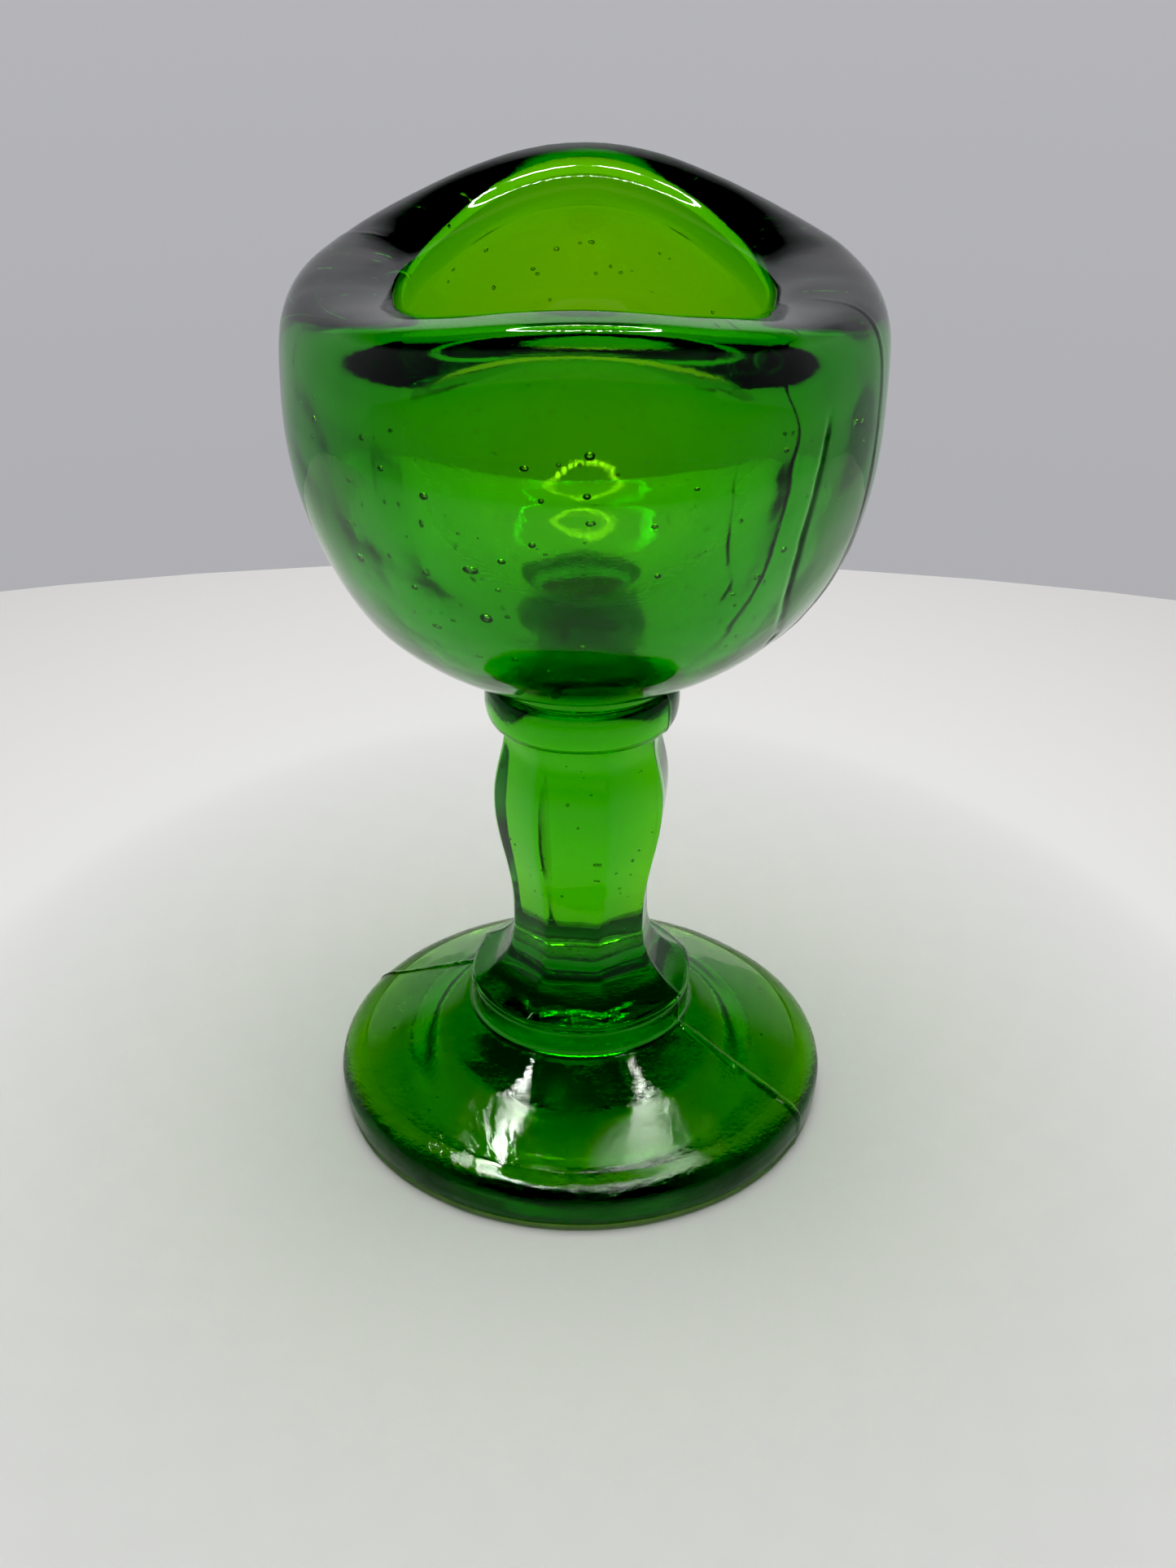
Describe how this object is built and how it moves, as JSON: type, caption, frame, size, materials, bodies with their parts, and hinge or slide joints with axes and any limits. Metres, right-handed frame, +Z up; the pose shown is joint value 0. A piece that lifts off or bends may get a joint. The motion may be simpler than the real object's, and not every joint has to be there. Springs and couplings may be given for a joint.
{
  "type": "eye wash cup",
  "caption": "Footed eye wash cup of thick green pressed glass, with an oval bowl, a saddle-shaped lip that fits around the eye, a faceted stem and a round foot.",
  "frame": {"origin": "centre of the foot where it rests on the table", "axes": "+Z up along the stem; X across the narrow sides of the bowl, where the lip dips; Y along the bowl's long axis, where the lip rises at both ends"},
  "size_m": [0.038, 0.047, 0.0655],
  "materials": {
    "green_glass": "clear emerald to yellow-green pressed glass, glossy, with mould marks, a parting-line ridge and small seed bubbles"
  },
  "bodies": {
    "root": {"bowl": "green_glass", "collar": "green_glass", "stem": "green_glass", "foot_ring": "green_glass", "foot": "green_glass"}
  },
  "joints": []
}
